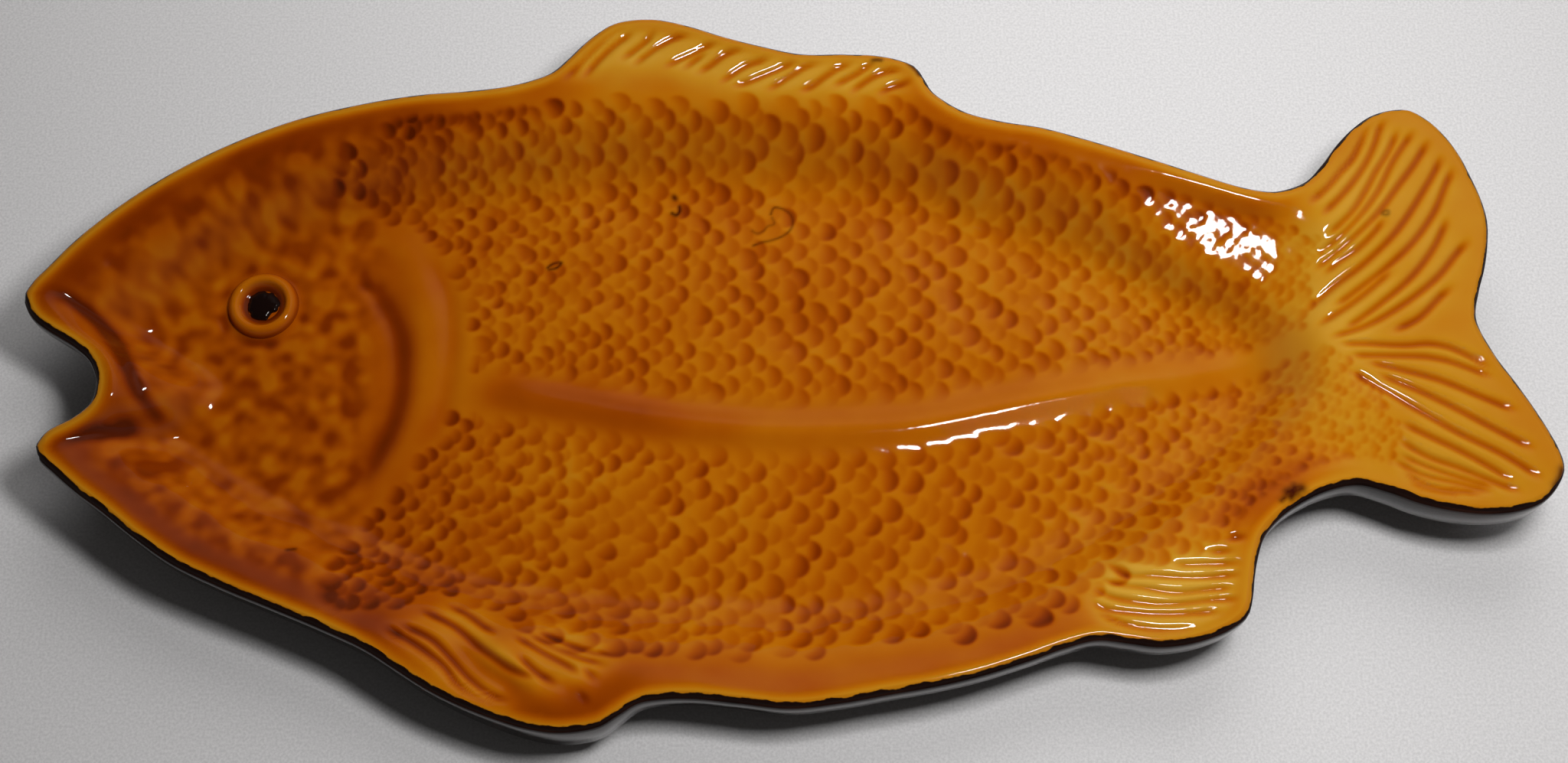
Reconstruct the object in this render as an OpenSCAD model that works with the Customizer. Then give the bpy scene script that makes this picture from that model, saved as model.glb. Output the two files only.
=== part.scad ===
// Fish shaped serving platter of glazed earthenware.
// X runs from the snout to the tail, Y to the dorsal fin, Z up from the table.
// The origin is on the table, under the middle of the platter.

/* [Platter] */
// Length from the snout to the tip of the tail
platter_length = 518; // [440:2:600]
// Width from the dorsal fin to the pectoral fin
platter_width = 263; // [230:1:300]
// Height of the rim above the table at the middle of the platter
rim_height = 30; // [26:1:38]
// Further rise of the rim at the snout and the tail
rim_rise = 6; // [0:1:10]
// Thickness of the floor and the walls, glaze included
wall = 6.5; // [5:0.5:8]
// Width of the smooth border round the well
border_width = 11; // [9:1:13]
// Fall of the border from the rim's crest to the edge of the well
border_fall = 2; // [1:0.5:4]
// Width of the slope between the border and the floor
slope_width = 28; // [24:1:32]
// Depth of the flat tail, from its longest tip to the edge of the well
tail_depth = 68; // [50:1:70]

/* [Rim lip] */
// Thickness of the rolled lip, across its turned edge
lip_width = 6; // [4.5:0.5:6.5]
// Depth of the lip below its crest where it is plain
lip_drop = 8; // [7.5:0.5:11]
// Rounding of the lip's lower edge
lip_round = 1.5; // [1:0.25:2.5]
// Further depth of the lip under the pectoral fin
fin_lip_drop = 12; // [0:1:14]

/* [Foot ring] */
// Height of the foot ring, from the table to the glazed underside
foot_height = 5; // [3:0.5:8]
// Length of the foot ring
foot_length = 304; // [200:2:304]
// Width of the foot ring
foot_width = 114; // [80:1:116]
// Thickness of the foot ring
foot_thickness = 7; // [4:0.5:12]
// Place of the foot ring's middle along the platter
foot_x = -20; // [-26:1:-14]
// Place of the foot ring's middle across the platter
foot_y = -12; // [-14:1:-8]
// Height of the bare clay that the glaze leaves above the table
foot_bare = 1.5; // [0.5:0.25:2.5]

/* [Lateral line] */
// Width of the raised lateral line
line_width = 10; // [6:1:14]
// Height of the raised lateral line
line_height = 2; // [0.5:0.25:4]

/* [Eye] */
// Distance between the foot of the slope and the eye's ring
eye_gap = 2; // [1:0.25:4]
// Outer diameter of the eye's ring
eye_d = 25; // [20:0.5:28]
// Height of the eye's ring
eye_height = 3; // [2:0.25:5]
// Diameter of the pupil's socket
pupil_d = 12; // [8:0.5:14]
// Height of the pupil's bead
pupil_height = 2; // [1:0.25:4]

/* [Glaze] */
// Thickness of the glaze coats
glaze = 0.5; // [0.3:0.1:0.9]

/* [Hidden] */

// One row for each rib, from the mouth to the fork of the tail: its place along the spine, then its
// dorsal end and its belly end. An end gives its place as shares of the length and the width, its flat
// fin as a share of the tail's depth, and its deeper lip as a share of the pectoral fin's.
rib_shares = [
    [0.000, [-0.446, -0.049, 0.00, 0.0], [-0.446, -0.049, 0.00, 0.0]],
    [0.010, [-0.452, -0.021, 0.00, 0.0], [-0.448, -0.078, 0.00, 0.0]],
    [0.022, [-0.473, 0.010, 0.00, 0.0], [-0.461, -0.102, 0.00, 0.1]],
    [0.036, [-0.492, 0.036, 0.00, 0.0], [-0.472, -0.116, 0.00, 0.2]],
    [0.052, [-0.500, 0.068, 0.00, 0.0], [-0.479, -0.143, 0.00, 0.3]],
    [0.070, [-0.488, 0.110, 0.00, 0.0], [-0.466, -0.172, 0.00, 0.3]],
    [0.092, [-0.455, 0.186, 0.00, 0.0], [-0.433, -0.222, 0.00, 0.3]],
    [0.125, [-0.401, 0.270, 0.00, 0.0], [-0.386, -0.289, 0.00, 0.3]],
    [0.180, [-0.332, 0.338, 0.00, 0.0], [-0.320, -0.346, 0.00, 0.3]],
    [0.260, [-0.250, 0.378, 0.00, 0.0], [-0.258, -0.399, 0.00, 0.4]],
    [0.335, [-0.190, 0.393, 0.00, 0.0], [-0.219, -0.447, 0.09, 0.5]],
    [0.385, [-0.161, 0.414, 0.07, 0.0], [-0.177, -0.483, 0.17, 0.8]],
    [0.425, [-0.140, 0.458, 0.23, 0.0], [-0.138, -0.500, 0.19, 1.0]],
    [0.460, [-0.119, 0.492, 0.34, 0.0], [-0.111, -0.492, 0.15, 0.9]],
    [0.495, [-0.092, 0.500, 0.35, 0.0], [-0.088, -0.464, 0.03, 0.4]],
    [0.550, [-0.042, 0.473, 0.24, 0.0], [-0.057, -0.458, 0.00, 0.2]],
    [0.620, [0.013, 0.445, 0.15, 0.0], [0.005, -0.470, 0.00, 0.2]],
    [0.690, [0.070, 0.441, 0.19, 0.0], [0.070, -0.452, 0.00, 0.2]],
    [0.725, [0.093, 0.424, 0.18, 0.0], [0.101, -0.441, 0.00, 0.2]],
    [0.755, [0.104, 0.386, 0.06, 0.0], [0.128, -0.428, 0.00, 0.2]],
    [0.785, [0.126, 0.354, 0.00, 0.0], [0.155, -0.411, 0.00, 0.2]],
    [0.830, [0.178, 0.329, 0.00, 0.0], [0.198, -0.386, 0.06, 0.3]],
    [0.875, [0.236, 0.291, 0.00, 0.0], [0.234, -0.395, 0.25, 0.3]],
    [0.900, [0.267, 0.268, 0.00, 0.0], [0.267, -0.384, 0.34, 0.3]],
    [0.920, [0.292, 0.249, 0.02, 0.0], [0.292, -0.354, 0.34, 0.2]],
    [0.935, [0.314, 0.234, 0.04, 0.0], [0.298, -0.306, 0.22, 0.2]],
    [0.948, [0.333, 0.228, 0.10, 0.0], [0.306, -0.255, 0.06, 0.2]],
    [0.959, [0.354, 0.241, 0.28, 0.0], [0.333, -0.209, 0.04, 0.3]],
    [0.968, [0.379, 0.298, 0.59, 0.0], [0.368, -0.188, 0.19, 0.4]],
    [0.975, [0.404, 0.340, 0.80, 0.0], [0.406, -0.213, 0.50, 0.5]],
    [0.981, [0.429, 0.348, 0.90, 0.0], [0.452, -0.228, 0.81, 0.5]],
    [0.986, [0.452, 0.308, 0.92, 0.0], [0.483, -0.213, 0.96, 0.4]],
    [0.990, [0.466, 0.245, 0.86, 0.0], [0.500, -0.167, 1.00, 0.2]],
    [0.994, [0.473, 0.179, 0.80, 0.0], [0.494, -0.120, 0.91, 0.0]],
    [0.997, [0.467, 0.110, 0.68, 0.0], [0.478, -0.055, 0.73, 0.0]],
    [1.000, [0.457, 0.042, 0.56, 0.0], [0.457, 0.042, 0.56, 0.0]]
];
// Points that the lateral line runs through, as shares of the length and the width
spine_shares = [
    [-0.357, -0.034], [-0.290, -0.023], [-0.199, -0.030], [-0.112, -0.065], [-0.050, -0.080],
    [0.015, -0.091], [0.079, -0.084], [0.145, -0.057], [0.212, -0.030], [0.286, -0.008]
];
// Stretches of the spine over which the raised line grows out of the head and sinks at the tail
line_start_share = [0.22, 0.30];
line_end_share = [0.93, 0.99];
// Fall of the border at the lip, halfway and at the edge of the well
fall_shares = [0.10, 0.45, 1];
// Rib that runs over the eye, counted from the mouth along the dorsal side
eye_rib = 6.5;
// Widest part of a rib that border and fin may take
flat_limit_share = 0.6;
// Stations between two ribs, and steps down the slope
ribs_steps = 2;
slope_steps = 5;
foot_facets = 96;
lip_angle = 45;
lip_r = lip_width / 2;
floor_z = foot_height + wall;
// Least distance between the foot of the slope and the raised line
floor_gap = glaze;

function gap(a, b) = norm([b.x - a.x, b.y - a.y]);
function blend(a, b, u) = a + (b - a) * u;
function ease(u) = u * u * (3 - 2 * u);
function ramp(range, u) = ease(min(1, max(0, (u - range[0]) / (range[1] - range[0]))));
function flip(list) = [for (i = [len(list) - 1:-1:0]) list[i]];
function curve(a, b, ta, tb, h, u) = (2 * u^3 - 3 * u^2 + 1) * a + (u^3 - 2 * u^2 + u) * h * ta
    + (3 * u^2 - 2 * u^3) * b + (u^3 - u^2) * h * tb;
// Direction of a smooth curve at b, on its way from a to c
function heading(a, b, c) = let (g = gap(a, b), h = gap(b, c)) ((b - a) / g * h + (c - b) / h * g) / (g + h);

// The ring of rib ends, dorsal side first, each as x, y, depth of its flat fin and depth of its lip
function rib_end(s) = [
    s[0] * platter_length, s[1] * platter_width, s[2] * tail_depth, s[3] * fin_lip_drop
];
rib_count = len(rib_shares) - 1;
ring = concat(
    [for (r = rib_shares) rib_end(r[1])],
    [for (k = [rib_count - 1:-1:1]) rib_end(rib_shares[k][2])]
);
ring_n = len(ring);
ring_headings = [
    for (i = [0:ring_n - 1]) heading(ring[(i + ring_n - 1) % ring_n], ring[i], ring[(i + 1) % ring_n])
];
stations = [
    for (i = [0:ring_n - 1], s = [0:ribs_steps - 1])
        let (j = (i + 1) % ring_n)
            curve(ring[i], ring[j], ring_headings[i], ring_headings[j], gap(ring[i], ring[j]), s / ribs_steps)
];
n = len(stations);
half_n = n / 2;
low_x = min([for (p = stations) p.x]);
high_x = max([for (p = stations) p.x]);
low_y = min([for (p = stations) p.y]);
high_y = max([for (p = stations) p.y]);
// The platter's outline, brought to the exact length and width round the origin
outline = [
    for (p = stations) [
        (p.x - (low_x + high_x) / 2) * platter_length / (high_x - low_x),
        (p.y - (low_y + high_y) / 2) * platter_width / (high_y - low_y)
    ]
];
inward = [
    for (i = [0:n - 1])
        let (t = outline[(i + 1) % n] - outline[(i + n - 1) % n])
            [t.y, -t.x] / norm(t)
];

// The spine, which the ribs of both sides meet
spine_posts = [for (s = spine_shares) [s[0] * platter_length, s[1] * platter_width]];
posts_n = len(spine_posts);
function post_reach(i) = i == 0 ? 0 : post_reach(i - 1) + gap(spine_posts[i - 1], spine_posts[i]);
reaches = [for (i = [0:posts_n - 1]) post_reach(i)];
function post_heading(i) = i == 0 ? (spine_posts[1] - spine_posts[0]) / gap(spine_posts[0], spine_posts[1])
    : i == posts_n - 1 ? (spine_posts[i] - spine_posts[i - 1]) / gap(spine_posts[i - 1], spine_posts[i])
    : heading(spine_posts[i - 1], spine_posts[i], spine_posts[i + 1]);
function spine_at(share) =
    let (
        reach = share * reaches[posts_n - 1],
        i = max([for (k = [0:posts_n - 2]) if (reaches[k] <= reach) k]),
        h = reaches[i + 1] - reaches[i]
    ) curve(spine_posts[i], spine_posts[i + 1], post_heading(i), post_heading(i + 1), h,
        (reach - reaches[i]) / h);
function share_at(j) =
    let (f = j / ribs_steps, k = min(rib_count - 1, floor(f)))
        blend(rib_shares[k][0], rib_shares[k + 1][0], f - k);
function spine_index(i) = i <= half_n ? i : n - i;
spine = [for (j = [0:half_n]) spine_at(share_at(j))];
line_rise = [
    for (j = [0:half_n])
        line_height * ramp(line_start_share, share_at(j)) * (1 - ramp(line_end_share, share_at(j)))
];

// Each rib starts inside the lip and runs straight to the spine
starts = [for (i = [0:n - 1]) outline[i] + inward[i] * lip_width];
lengths = [for (i = [0:n - 1]) gap(starts[i], spine[spine_index(i)])];
along = [for (i = [0:n - 1]) (spine[spine_index(i)] - starts[i]) / lengths[i]];
border_ends = [
    for (i = [0:n - 1]) min(border_width - lip_width + max(0, stations[i][2]), lengths[i] * flat_limit_share)
];
line_starts = [for (i = [0:n - 1]) lengths[i] - line_width / 2];
slope_ends = [for (i = [0:n - 1]) min(border_ends[i] + slope_width, line_starts[i] - floor_gap)];
eye_station = floor(eye_rib * ribs_steps);
eye_at = starts[eye_station] + along[eye_station] * (slope_ends[eye_station] + eye_gap + eye_d / 2);
function rim_z(i) = rim_height + rim_rise * (2 * outline[i].x / platter_length)^2;
function drop(i) = lip_drop + stations[i][3];

function lip_loop(inset, z) = [for (i = [0:n - 1]) concat(outline[i] + inward[i] * inset, z[i])];
function rib_loop(at, z) = [for (i = [0:n - 1]) concat(starts[i] + along[i] * at[i], z[i])];
function spine_row(z, rise) = [for (j = [0:half_n]) concat(spine[j], z + rise * line_rise[j])];

// Depth of the slope below the border, at a share of its width
function slope_z(i, u) = blend(rim_z(i) - border_fall, floor_z, ease(u));
function slope_at(i, u) = blend(border_ends[i], slope_ends[i], u);
all = [0:n - 1];
shoulder_out = lip_r * cos(lip_angle);
shoulder_up = lip_r * sin(lip_angle);

// Loops of the upper side from the lip's shoulder inwards, a coat's thickness under the finished surface
function top_loops(coat) = concat(
    [
        lip_loop(lip_r - (lip_r - coat) * cos(lip_angle),
            [for (i = all) rim_z(i) - lip_r + (lip_r - coat) * sin(lip_angle)]),
        lip_loop(lip_r, [for (i = all) rim_z(i) - coat]),
        lip_loop(lip_width, [for (i = all) rim_z(i) - coat - border_fall * fall_shares[0]]),
        rib_loop(border_ends / 2, [for (i = all) rim_z(i) - coat - border_fall * fall_shares[1]]),
        rib_loop(border_ends, [for (i = all) rim_z(i) - coat - border_fall * fall_shares[2]])
    ],
    [
        for (s = [1:slope_steps])
            rib_loop([for (i = all) slope_at(i, s / slope_steps)],
                [for (i = all) slope_z(i, s / slope_steps) - coat])
    ],
    [rib_loop(line_starts, [for (i = all) floor_z - coat])]
);
// Loops of the underside from the lip's outer side inwards to the edge of the flat floor
function under_loops(coat) = concat(
    [
        lip_loop(coat, [for (i = all) rim_z(i) - lip_r]),
        lip_loop(coat, [for (i = all) rim_z(i) - drop(i) + lip_round]),
        lip_loop(lip_r, [for (i = all) rim_z(i) - drop(i) + coat]),
        lip_loop(lip_width - coat, [for (i = all) rim_z(i) - drop(i) + lip_round]),
        rib_loop([for (i = all) lip_round],
            [for (i = all) rim_z(i) - border_fall * fall_shares[0] - wall + coat]),
        rib_loop(border_ends, [for (i = all) rim_z(i) - border_fall - wall + coat])
    ],
    [
        for (s = [1:slope_steps])
            rib_loop([for (i = all) slope_at(i, s / slope_steps)],
                [for (i = all) slope_z(i, s / slope_steps) - wall + coat])
    ]
);

// Faces between two loops whose points start at a and at b. On the way back, under a coat, each
// four-sided patch is cut the other way, so that it lies face to face with the clay.
function band(a, b, back) = [
    for (i = all)
        let (j = (i + 1) % n)
            each back ? [[a + i, b + i, a + j], [b + i, b + j, a + j]]
                : [[a + i, b + i, b + j], [a + i, b + j, a + j]]
];
// A closed skin from one spine row over all loops to another spine row, on its way back after the loop
// that turn numbers
module spine_skin(first, loops, last, turn) {
    m = half_n + 1;
    c = m + (len(loops) - 1) * n;
    start = c + n;
    points = concat(first, [for (loop = loops) each loop], last);
    faces = concat(
        [
            for (i = all)
                let (j = (i + 1) % n, a = spine_index(i), b = spine_index(j))
                    each [[a, m + i, m + j], [a, m + j, b]]
        ],
        [for (r = [0:len(loops) - 2]) each band(m + r * n, m + (r + 1) * n, r > turn)],
        [
            for (i = all)
                let (j = (i + 1) % n, a = start + spine_index(i), b = start + spine_index(j))
                    each [[c + i, a, c + j], [a, b, c + j]]
        ]
    );
    polyhedron(points, faces);
}
// A closed skin whose last loop joins the first one, on its way back after the loop that turn numbers
module ring_skin(loops, turn) {
    polyhedron(
        [for (loop = loops) each loop],
        [for (r = [0:len(loops) - 1]) each band(r * n, (r + 1) % len(loops) * n, r > turn)]
    );
}

// The cast earthenware body, under its coats of glaze
module clay_body() {
    loops = concat(flip(top_loops(glaze)), under_loops(glaze));
    color("#d8b48a")
        spine_skin(spine_row(floor_z - glaze, 1), loops, spine_row(foot_height + glaze, 0), len(loops));
}

// The amber coat over the upper side, out to the shoulder of the lip
module amber_glaze() {
    outer = flip(top_loops(0));
    color("#b06a0c")
        spine_skin(
            spine_row(floor_z, 1),
            concat(outer, top_loops(glaze)),
            spine_row(floor_z - glaze, 1),
            len(outer) - 1
        );
}

// The dark coat from the shoulder of the lip round its edge and over the sloping underside
module back_glaze() {
    outer = concat([top_loops(0)[0]], under_loops(0));
    color("#1a0d0a")
        ring_skin(concat(outer, flip(under_loops(glaze)), [top_loops(glaze)[0]]), len(outer) - 1);
}

// An oval in line with the foot ring, a distance outside the ring's outer edge
module foot_oval(outside) {
    polygon([
        for (k = [0:foot_facets - 1])
            let (t = k * 360 / foot_facets)
                [foot_x + (foot_length / 2 + outside) * cos(t), foot_y + (foot_width / 2 + outside) * sin(t)]
    ]);
}

// The foot ring, which stands on the table and is luted to the clay body
module foot_ring() {
    color("#cfa87c")
        linear_extrude(foot_height + glaze)
            difference() {
                foot_oval(0);
                foot_oval(-foot_thickness);
            }
}

// The dark coat on the flat underside and on the foot ring's two sides
module foot_glaze() {
    color("#1a0d0a") {
        translate([0, 0, foot_height])
            linear_extrude(glaze)
                difference() {
                    polygon([for (p = under_loops(0)[len(under_loops(0)) - 1]) [p.x, p.y]]);
                    foot_oval(0);
                }
        translate([0, 0, foot_height])
            linear_extrude(glaze)
                foot_oval(-foot_thickness);
        translate([0, 0, foot_bare])
            linear_extrude(foot_height - foot_bare)
                difference() {
                    foot_oval(glaze);
                    foot_oval(0);
                }
        translate([0, 0, foot_bare])
            linear_extrude(foot_height - foot_bare)
                difference() {
                    foot_oval(-foot_thickness);
                    foot_oval(-foot_thickness - glaze);
                }
    }
}

// The raised ring of the eye, seated on the floor of the head
module eye_ring() {
    crest = (eye_d - pupil_d) / 4;
    color("#b8781a")
        translate([eye_at.x, eye_at.y, floor_z])
            rotate_extrude($fn = 96)
                intersection() {
                    translate([pupil_d / 2 + crest, 0])
                        scale([crest, eye_height])
                            circle(1, $fn = 48);
                    translate([pupil_d / 2, 0])
                        square([2 * crest, eye_height]);
                }
}

// The bead of dark glaze in the eye's socket
module eye_pupil() {
    r = pupil_d / 2 - glaze / 2;
    color("#120806")
        translate([eye_at.x, eye_at.y, floor_z])
            rotate_extrude($fn = 96)
                intersection() {
                    scale([r, pupil_height])
                        circle(1, $fn = 48);
                    square([r, pupil_height]);
                }
}

clay_body();
foot_ring();
amber_glaze();
back_glaze();
foot_glaze();
eye_ring();
eye_pupil();
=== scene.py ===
"""Fish shaped serving platter of glazed earthenware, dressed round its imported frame.

The carved upper side is pressed into fine sheets from height maps that start at the frame's own surfaces."""

import math

import bmesh
import bpy
import numpy as np
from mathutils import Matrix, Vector
from mathutils.bvhtree import BVHTree
from mathutils.kdtree import KDTree


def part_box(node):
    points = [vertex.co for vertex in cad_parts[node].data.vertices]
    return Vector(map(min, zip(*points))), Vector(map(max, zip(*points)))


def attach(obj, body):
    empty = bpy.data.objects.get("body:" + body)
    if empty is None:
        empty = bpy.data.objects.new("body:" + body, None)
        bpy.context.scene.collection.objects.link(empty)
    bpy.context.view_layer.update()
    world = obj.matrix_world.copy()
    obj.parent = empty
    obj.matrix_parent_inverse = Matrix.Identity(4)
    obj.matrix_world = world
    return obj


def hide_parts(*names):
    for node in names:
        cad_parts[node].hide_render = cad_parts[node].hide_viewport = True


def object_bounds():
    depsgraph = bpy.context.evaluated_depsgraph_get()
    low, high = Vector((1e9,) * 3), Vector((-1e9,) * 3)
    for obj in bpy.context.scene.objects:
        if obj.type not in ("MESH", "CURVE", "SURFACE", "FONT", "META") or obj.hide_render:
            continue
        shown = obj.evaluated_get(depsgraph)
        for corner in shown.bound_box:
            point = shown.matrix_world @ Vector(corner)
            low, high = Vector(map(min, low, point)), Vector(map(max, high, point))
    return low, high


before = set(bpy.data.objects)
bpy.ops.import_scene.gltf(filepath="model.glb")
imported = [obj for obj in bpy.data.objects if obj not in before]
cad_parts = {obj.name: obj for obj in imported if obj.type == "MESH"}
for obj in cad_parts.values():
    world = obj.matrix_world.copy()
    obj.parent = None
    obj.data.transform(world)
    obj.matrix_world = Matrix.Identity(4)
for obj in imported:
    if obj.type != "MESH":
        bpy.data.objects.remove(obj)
cad_low, cad_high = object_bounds()

MM = 0.001
# Sizes from here on are in millimetres, and meshes are brought to metres when they are finished.

# Cells of the flat sheets, of the maps and of the coarse grid that the frame is read on
SHEET_CELL = 2.4
TOP_CUTS = 3
MAP_CELL = 0.5
COARSE_CELL = 2.0
MAP_MARGIN = 12.0
# The frame's facets are blurred away over this radius
FACET_BLUR = 2.4
# Corners, and points of a border, that lie this near are one
SAME_CORNER = 0.002
SAME_POINT = 0.01
# Spacing of the samples round the rim, and how many on each side give its direction
RIM_STEP = 0.4
RIM_SPAN = 3

# The lip, the wall and the coats of glaze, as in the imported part
LIP_ROUND = 3.0
LIP_WIDTH = 6.0
LIP_EDGE = 1.5
WALL = 6.5
COAT = 0.5
BORDER_DROP = 0.2
SHOULDER_ANGLE = 45
# Thickness of the amber panels, which reach down into the clay that they stand for
COAT_SHEET = 3.2

rng = np.random.default_rng(7)


# Curves

def flow(points, step, closed=False):
    """Rows of points a step apart on a smooth curve through the given rows."""
    rows = np.array(points, float)
    if closed:
        rows = np.vstack([rows[-1], rows, rows[0], rows[1]])
    else:
        rows = np.vstack([2 * rows[0] - rows[1], rows, 2 * rows[-1] - rows[-2]])
    chord = np.maximum(np.hypot(*np.diff(rows[:, :2], axis=0).T), 1e-6)[:, None]
    lean = np.diff(rows, axis=0) / chord
    turn = (lean[:-1] * chord[1:] + lean[1:] * chord[:-1]) / (chord[:-1] + chord[1:])
    made = []
    for i in range(len(turn) - 1):
        a, b, h = rows[i + 1], rows[i + 2], chord[i + 1]
        u = np.linspace(0, 1, max(2, math.ceil(h[0] / step) + 1))[:-1, None]
        made.append(
            (2 * u**3 - 3 * u**2 + 1) * a + (u**3 - 2 * u**2 + u) * h * turn[i]
            + (3 * u**2 - 2 * u**3) * b + (u**3 - u**2) * h * turn[i + 1]
        )
    if not closed:
        made.append(rows[-2:-1])
    return np.vstack(made)


def ease(value, low, high):
    """0 below low, 1 above high and a smooth step between them."""
    u = np.clip((value - low) / (high - low), 0, 1)
    return u * u * (3 - 2 * u)


def table_at(table, value):
    """The second column of a table where its first column has a value."""
    rows = np.array(table, float)
    return np.interp(value, rows[:, 0], rows[:, 1])


# The platter's outline, read from the dark coat's outer wall

# Tilt of the normals that tell the upright wall from the lip's round above it
UPRIGHT = 0.05
ROUNDED = 0.2
# Nearer the rim than this, a depth is measured square to it
NEAR_RIM = 1.5


def joined_copy(node):
    """A node's mesh in millimetres, with the corners of its loose triangles joined."""
    bm = bmesh.new()
    bm.from_mesh(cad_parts[node].data)
    bmesh.ops.scale(bm, vec=(1 / MM,) * 3, verts=bm.verts)
    bmesh.ops.remove_doubles(bm, verts=bm.verts, dist=SAME_CORNER)
    bm.normal_update()
    return bm


def wall_stations():
    """Rows of x, y, top and foot of the lip's outer wall, in order round the rim."""
    bm = joined_copy("back_glaze")
    ring = {}
    for edge in bm.edges:
        rises = sorted(abs(f.normal.z) for f in edge.link_faces)
        if len(rises) == 2 and rises[0] < UPRIGHT and max(f.normal.z for f in edge.link_faces) > ROUNDED:
            a, b = edge.verts
            ring.setdefault(a, []).append(b)
            ring.setdefault(b, []).append(a)
    start = min(ring, key=lambda v: v.co.x)
    path = [start, ring[start][0]]
    while path[-1] is not start:
        path.append(next(v for v in ring[path[-1]] if v is not path[-2]))
    rows = []
    for v in path[:-1]:
        below = [e.other_vert(v) for e in v.link_edges]
        foot = min(w.co.z for w in below if (w.co.xy - v.co.xy).length < SAME_POINT)
        rows.append([v.co.x, v.co.y, v.co.z, foot])
    bm.free()
    rows = np.array(rows)
    x, y = rows[:, 0], rows[:, 1]
    area = np.sum(x * np.roll(y, -1) - y * np.roll(x, -1))
    return rows if area > 0 else rows[::-1]


rim = flow(wall_stations(), RIM_STEP, closed=True)
box_low, box_high = np.array(cad_low) / MM, np.array(cad_high) / MM
rim[:, :2] = np.clip(rim[:, :2], box_low[:2], box_high[:2])
along_rim = np.roll(rim[:, :2], -RIM_SPAN, axis=0) - np.roll(rim[:, :2], RIM_SPAN, axis=0)
along_rim /= np.hypot(*along_rim.T)[:, None]
inward = np.column_stack([-along_rim[:, 1], along_rim[:, 0]])
crest_z = rim[:, 2] + LIP_ROUND
lip_foot_z = rim[:, 3] - LIP_EDGE

rim_tree = KDTree(len(rim))
for number, row in enumerate(rim):
    rim_tree.insert((row[0], row[1], 0), number)
rim_tree.balance()


def nearest_rim(points):
    """For each point, the number of the nearest rim sample and how far inside the outline it lies."""
    found = np.array([rim_tree.find((p[0], p[1], 0))[1] for p in points])
    away = points - rim[found, :2]
    side = np.sum(away * inward[found], axis=1)
    far = np.hypot(*away.T)
    return found, np.where(far > NEAR_RIM, np.sign(side) * far, side)


def plan(verts):
    """Rows of x and y of vertices."""
    return np.array([v.co.xy for v in verts])


def rim_beside(verts):
    """For each vertex, the number of the nearest rim sample."""
    return nearest_rim(plan(verts))[0]


# Height maps: square grids over the platter, indexed by column and row

map_low = box_low[:2] - MAP_MARGIN
map_size = box_high[:2] - box_low[:2] + 2 * MAP_MARGIN


def map_axes(cell):
    """The x of the columns and the y of the rows of a map."""
    return [map_low[k] + cell * np.arange(math.ceil(map_size[k] / cell) + 1) for k in (0, 1)]


def sample(grid, cell, x, y):
    """The grid's value between its points."""
    u, v = (x - map_low[0]) / cell, (y - map_low[1]) / cell
    i = np.clip(np.floor(u).astype(int), 0, grid.shape[0] - 2)
    j = np.clip(np.floor(v).astype(int), 0, grid.shape[1] - 2)
    u, v = u - i, v - j
    return ((grid[i, j] * (1 - u) + grid[i + 1, j] * u) * (1 - v)
            + (grid[i, j + 1] * (1 - u) + grid[i + 1, j + 1] * u) * v)


def blur(grid, radius):
    """A map with each point spread over a soft round spot."""
    reach = math.ceil(3 * radius / MAP_CELL)
    weights = np.exp(-0.5 * (np.arange(-reach, reach + 1) * MAP_CELL / radius) ** 2)
    weights /= weights.sum()
    for axis in (0, 1):
        padded = np.pad(grid, [(reach, reach) if k == axis else (0, 0) for k in (0, 1)], mode="edge")
        length = grid.shape[axis]
        grid = sum(
            w * (padded[k:k + length] if axis == 0 else padded[:, k:k + length])
            for k, w in enumerate(weights)
        )
    return grid


coarse_x, coarse_y = np.meshgrid(*map_axes(COARSE_CELL), indexing="ij")
coarse_points = np.column_stack([coarse_x.ravel(), coarse_y.ravel()])
coarse_near, coarse_depth = nearest_rim(coarse_points)
map_x, map_y = np.meshgrid(*map_axes(MAP_CELL), indexing="ij")
# Heights that rays start from, above and below the whole platter
ABOVE, BELOW = 100, -20


def cast(node, height, direction):
    """A map of the heights where upright rays meet a node, or of the rim's crest outside it."""
    bm = joined_copy(node)
    tree = BVHTree.FromBMesh(bm)
    bm.free()
    heights = crest_z[coarse_near].copy()
    for k in np.flatnonzero(coarse_depth > LIP_ROUND + COAT):
        hit = tree.ray_cast(Vector((*coarse_points[k], height)), Vector((0, 0, direction)))[0]
        if hit is not None:
            heights[k] = hit.z
    return blur(sample(heights.reshape(coarse_x.shape), COARSE_CELL, map_x, map_y), FACET_BLUR)


edge_map = sample(coarse_depth.reshape(coarse_x.shape), COARSE_CELL, map_x, map_y)
base_map = cast("amber_glaze", ABOVE, -1)
under_map = cast("clay_body", BELOW, 1) - COAT

# At the root of the tail the well climbs out in one long gentle slope: its middle, its way and its reach
ROOT = (156, 44)
ROOT_WAY = (0.88, -0.47)
ROOT_LONG, ROOT_WIDE = 40, 17
# Its height in the middle, and its slope and curve towards the tail and towards the back
ROOT_HEIGHT = 24.9
ROOT_SLOPE = (0.105, 0.27)
ROOT_CURVE = (0.00085, 0.0008)
ROOT_BLUR = 3.0
# How far the surface itself may leave the frame's there, and how far inside the outline the climb fades in
ROOT_REACH = 2.0
ROOT_EDGE = (3, 11)

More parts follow.
